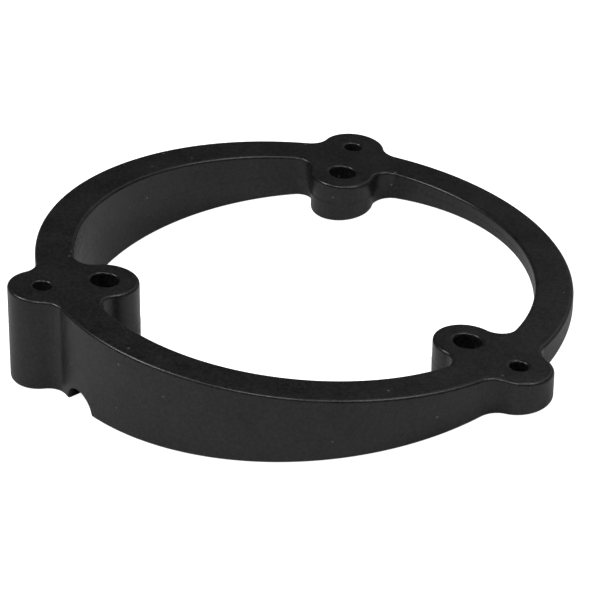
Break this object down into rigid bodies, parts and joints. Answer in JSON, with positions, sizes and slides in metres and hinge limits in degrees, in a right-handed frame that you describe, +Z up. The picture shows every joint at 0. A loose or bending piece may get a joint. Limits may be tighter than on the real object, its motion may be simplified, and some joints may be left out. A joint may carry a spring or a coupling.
{
  "type": "tapered mounting ring",
  "caption": "Tapered round mounting ring with a wide central opening, lobes that carry screw holes outside and inside the wall, and a cable notch in the base.",
  "frame": {"origin": "on the base face, in the middle of the part's bounding box", "axes": "+Z up from the base face, -X towards the thick lobe, so the ring thins towards +X"},
  "size_m": [0.1928, 0.18, 0.0347],
  "materials": {
    "moulded_plastic": "fine-grained black injection moulding, semi-matt"
  },
  "bodies": {
    "root": {"wedge_ring": "moulded_plastic"}
  },
  "joints": []
}
